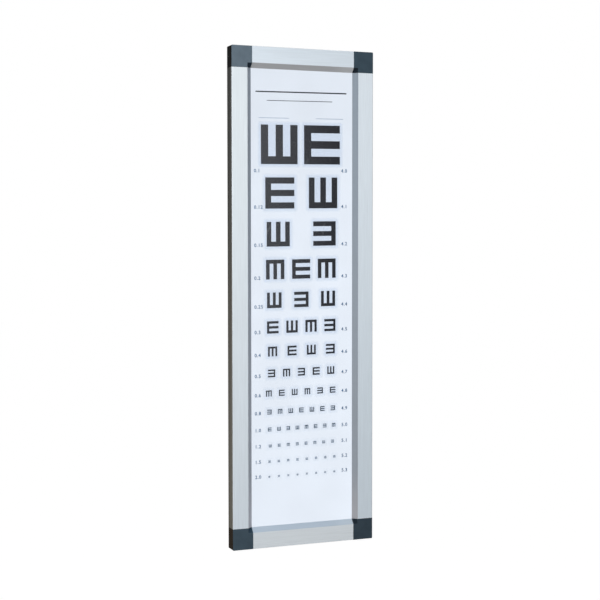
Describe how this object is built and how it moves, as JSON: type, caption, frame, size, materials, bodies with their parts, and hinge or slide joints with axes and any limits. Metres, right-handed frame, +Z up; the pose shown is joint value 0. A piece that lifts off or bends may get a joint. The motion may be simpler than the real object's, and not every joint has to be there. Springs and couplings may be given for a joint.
{
  "type": "eye test chart light box",
  "caption": "Slim wall-hung light box for an eye test chart: aluminium snap-open rails, moulded corner blocks, edge-lit panel behind a clear sheet.",
  "frame": {"origin": "on the wall plane at the back, midway between the head holes of the two keyholes in the top rail", "axes": "+x to the right of someone who reads the chart, +y from the chart into the wall, +z up along the rails"},
  "size_m": [0.2845, 0.026, 0.9283],
  "materials": {
    "rail_aluminium": "brushed along its length and clear anodised",
    "corner_plastic": "moulded slate-grey ABS with a fine spark texture",
    "spring_steel": "rolled strip, bright",
    "zinc_screw": "bright zinc plate",
    "clear_acrylic": "clear and polished",
    "chart_film": "white translucent film, printed in black",
    "opal_acrylic": "opal, satin",
    "light_guide": "clear, dotted on its back",
    "white_reflector": "matt white foam film",
    "panel_aluminium": "mill finish sheet",
    "strip_board": "white solder mask",
    "led_phosphor": "yellow phosphor in a white case",
    "lead_insulation": "black PVC",
    "grommet_rubber": "moulded, matt",
    "terminal_nylon": "natural nylon",
    "terminal_brass": "turned and stamped",
    "switch_plastic": "black nylon, semi-gloss"
  },
  "bodies": {
    "frame": {"base_rail_left": "rail_aluminium", "spring_clips_left": "spring_steel", "base_rail_right": "rail_aluminium", "spring_clips_right": "spring_steel", "base_rail_top": "rail_aluminium", "spring_clips_top": "spring_steel", "base_rail_bottom": "rail_aluminium", "spring_clips_bottom": "spring_steel", "corner_block_bottom_left": "corner_plastic", "corner_block_bottom_right": "corner_plastic", "corner_block_top_right": "corner_plastic", "corner_block_top_left": "corner_plastic", "corner_screws": "zinc_screw", "clear_cover_sheet": "clear_acrylic", "chart_film": "chart_film", "diffuser_sheet": "opal_acrylic", "light_guide_plate": "light_guide", "reflector_sheet": "white_reflector", "back_panel": "panel_aluminium", "led_strip_left": "strip_board", "led_strip_right": "strip_board", "led_emitters_left": "led_phosphor", "led_emitters_right": "led_phosphor", "strip_lead_left": "lead_insulation", "strip_lead_right": "lead_insulation", "switch_lead": "lead_insulation", "cord_grommet": "grommet_rubber", "terminal_block": "terminal_nylon", "terminal_screws": "terminal_brass", "switch_housing": "switch_plastic", "switch_spades": "terminal_brass"},
    "left_cover": {"snap_cover_left": "rail_aluminium"},
    "right_cover": {"snap_cover_right": "rail_aluminium"},
    "top_cover": {"snap_cover_top": "rail_aluminium"},
    "bottom_cover": {"snap_cover_bottom": "rail_aluminium"},
    "rocker": {"switch_rocker": "switch_plastic"}
  },
  "joints": [
    {"name": "left_cover_hinge", "type": "hinge", "parent": "frame", "child": "left_cover", "pos_m": [-0.138, -0.023, -0.449], "axis": [0, 0, -1], "range_deg": [0, 90]},
    {"name": "right_cover_hinge", "type": "hinge", "parent": "frame", "child": "right_cover", "pos_m": [0.138, -0.023, -0.449], "axis": [0, 0, 1], "range_deg": [0, 90]},
    {"name": "top_cover_hinge", "type": "hinge", "parent": "frame", "child": "top_cover", "pos_m": [0, -0.023, 0.0115], "axis": [-1, 0, 0], "range_deg": [0, 90]},
    {"name": "bottom_cover_hinge", "type": "hinge", "parent": "frame", "child": "bottom_cover", "pos_m": [0, -0.023, -0.9095], "axis": [1, 0, 0], "range_deg": [0, 90]},
    {"name": "rocker_tilt", "type": "hinge", "parent": "frame", "child": "rocker", "pos_m": [0.141, -0.0077, -0.8025], "axis": [0, -1, 0], "range_deg": [0, 18]}
  ]
}
